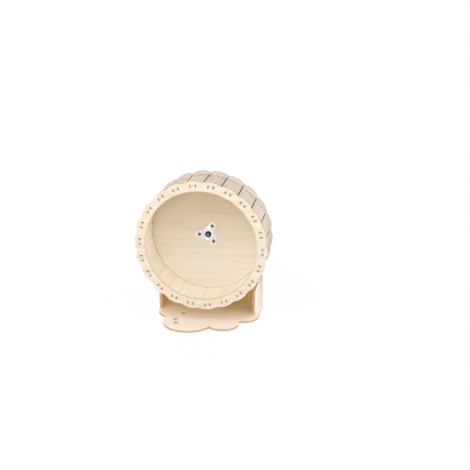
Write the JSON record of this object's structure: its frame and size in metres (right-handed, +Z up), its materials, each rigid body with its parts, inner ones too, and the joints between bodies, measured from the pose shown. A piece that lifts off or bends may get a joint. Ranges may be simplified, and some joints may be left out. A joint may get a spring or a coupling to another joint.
{
  "type": "rodent exercise wheel",
  "caption": "Plywood hamster wheel: slatted drum with scalloped rims, open at the front, on a central ball bearing, held by a back panel on a lobed base with two side brackets.",
  "frame": {"origin": "on the floor under the base plate, below the axle and midway along the depth of the base", "axes": "+Z up, the drum opens towards -Y, the axle runs along Y, +X to the right seen from the front"},
  "size_m": [0.2118, 0.1323, 0.2396],
  "materials": {
    "plywood_wheel": "bare sanded plywood",
    "plywood_stand": "bare sanded plywood",
    "pressed_steel": "bright zinc",
    "zinc_steel": "zinc plated",
    "bearing_steel": "ground and polished",
    "black_steel": "black oxide",
    "nylon": "plain nylon"
  },
  "bodies": {
    "stand": {"base_plate": "plywood_stand", "back_panel": "plywood_stand", "side_panel_left": "plywood_stand", "side_panel_right": "plywood_stand", "axle_bolt": "black_steel", "bearing_inner_ring": "bearing_steel", "spacer_sleeve": "zinc_steel", "panel_washer_front": "zinc_steel", "panel_washer_rear": "zinc_steel", "lock_nut": "zinc_steel", "lock_nut_insert": "nylon"},
    "wheel": {"front_ring": "plywood_wheel", "rear_disc": "plywood_wheel", "tread_slat_01": "plywood_wheel", "tread_slat_02": "plywood_wheel", "tread_slat_03": "plywood_wheel", "tread_slat_04": "plywood_wheel", "tread_slat_05": "plywood_wheel", "tread_slat_06": "plywood_wheel", "tread_slat_07": "plywood_wheel", "tread_slat_08": "plywood_wheel", "tread_slat_09": "plywood_wheel", "tread_slat_10": "plywood_wheel", "tread_slat_11": "plywood_wheel", "tread_slat_12": "plywood_wheel", "tread_slat_13": "plywood_wheel", "tread_slat_14": "plywood_wheel", "tread_slat_15": "plywood_wheel", "tread_slat_16": "plywood_wheel", "tread_slat_17": "plywood_wheel", "tread_slat_18": "plywood_wheel", "tread_slat_19": "plywood_wheel", "tread_slat_20": "plywood_wheel", "tread_slat_21": "plywood_wheel", "tread_slat_22": "plywood_wheel", "hub_plate": "pressed_steel", "hub_screws": "zinc_steel", "hub_nuts": "zinc_steel", "bearing_outer_ring": "bearing_steel", "bearing_shield_front": "pressed_steel", "bearing_shield_rear": "pressed_steel"},
    "cage": {"bearing_cage": "nylon", "bearing_balls": "bearing_steel"}
  },
  "joints": [
    {"name": "wheel_spin", "type": "hinge", "parent": "stand", "child": "wheel", "pos_m": [0, 0, 0.134], "axis": [0, 1, 0], "continuous": true},
    {"name": "cage_spin", "type": "hinge", "parent": "stand", "child": "cage", "pos_m": [0, 0, 0.134], "axis": [0, 1, 0], "continuous": true}
  ],
  "couplings": [
    {"joint": "cage_spin", "follows": "wheel_spin", "ratio": 0.627}
  ]
}
